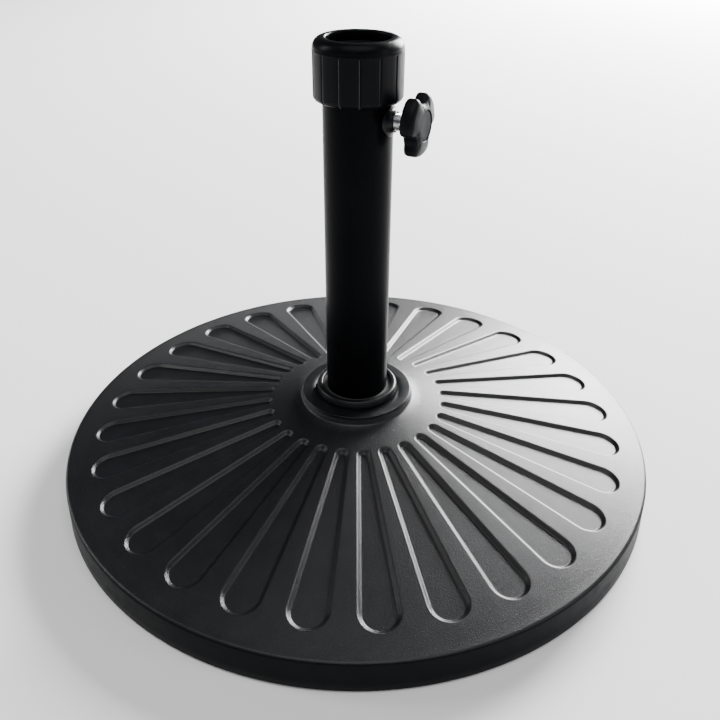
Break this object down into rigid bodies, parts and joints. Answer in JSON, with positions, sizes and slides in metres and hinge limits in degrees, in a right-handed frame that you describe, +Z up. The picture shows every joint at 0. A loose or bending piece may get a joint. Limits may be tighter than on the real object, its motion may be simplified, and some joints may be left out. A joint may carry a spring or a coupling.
{
  "type": "umbrella stand",
  "caption": "Round parasol base: fluted disc with a concrete core, steel stand tube, screw-down top cap and side clamp knob that grips the pole.",
  "frame": {"origin": "middle of the underside of the feet, on the floor", "axes": "+Z up along the stand tube, +X along the clamp knob's axis, from the tube out to the knob"},
  "size_m": [0.5, 0.5, 0.357],
  "materials": {
    "moulded_resin": "fine pebbled grain, satin",
    "concrete": "cast, rough",
    "cover_plastic": "matt",
    "smooth_plastic": "smooth, satin",
    "satin_plastic": "satin gloss",
    "knob_plastic": "satin",
    "disc_plastic": "fine matt",
    "black_powder_coat": "satin powder coat",
    "raw_steel": "mill finish",
    "zinc_steel": "bright zinc plate",
    "foot_rubber": "matt"
  },
  "bodies": {
    "base": {"base_shell": "moulded_resin", "concrete_core": "concrete", "bottom_cover": "cover_plastic", "cover_screws": "zinc_steel", "rubber_feet": "foot_rubber", "hub_ring_plate": "smooth_plastic", "hub_collar": "smooth_plastic", "collar_seal": "foot_rubber", "socket_cup": "raw_steel", "stand_tube": "black_powder_coat", "tube_end_plug": "raw_steel", "weld_nut": "zinc_steel", "centre_bolt": "zinc_steel", "plate_washer": "zinc_steel", "spring_washer": "zinc_steel", "pole_seat": "cover_plastic", "cap_ferrule": "cover_plastic", "threaded_bush": "black_powder_coat"},
    "sleeve": {"pole_sleeve": "cover_plastic"},
    "cap": {"top_cap": "satin_plastic"},
    "pad": {"clamp_pad": "foot_rubber"},
    "knob": {"clamp_stud": "zinc_steel", "knob_insert": "zinc_steel", "knob_body": "knob_plastic", "knob_face_disc": "disc_plastic"}
  },
  "joints": [
    {"name": "cap_lift", "type": "slide", "parent": "base", "child": "sleeve", "axis": [0, 0, 1], "range_m": [0, 0.01001]},
    {"name": "cap_turn", "type": "hinge", "parent": "sleeve", "child": "cap", "pos_m": [0, 0, 0.335], "axis": [0, 0, 1], "range_deg": [0, 900]},
    {"name": "pad_travel", "type": "slide", "parent": "base", "child": "pad", "axis": [1, 0, 0], "range_m": [-0.00438, 0]},
    {"name": "knob_turn", "type": "hinge", "parent": "pad", "child": "knob", "pos_m": [0.044, 0, 0.303], "axis": [1, 0, 0], "range_deg": [-900, 0]}
  ],
  "couplings": [
    {"joint": "cap_lift", "follows": "cap_turn", "m_per_rad": 0.00063662},
    {"joint": "pad_travel", "follows": "knob_turn", "m_per_rad": 0.00027852}
  ]
}
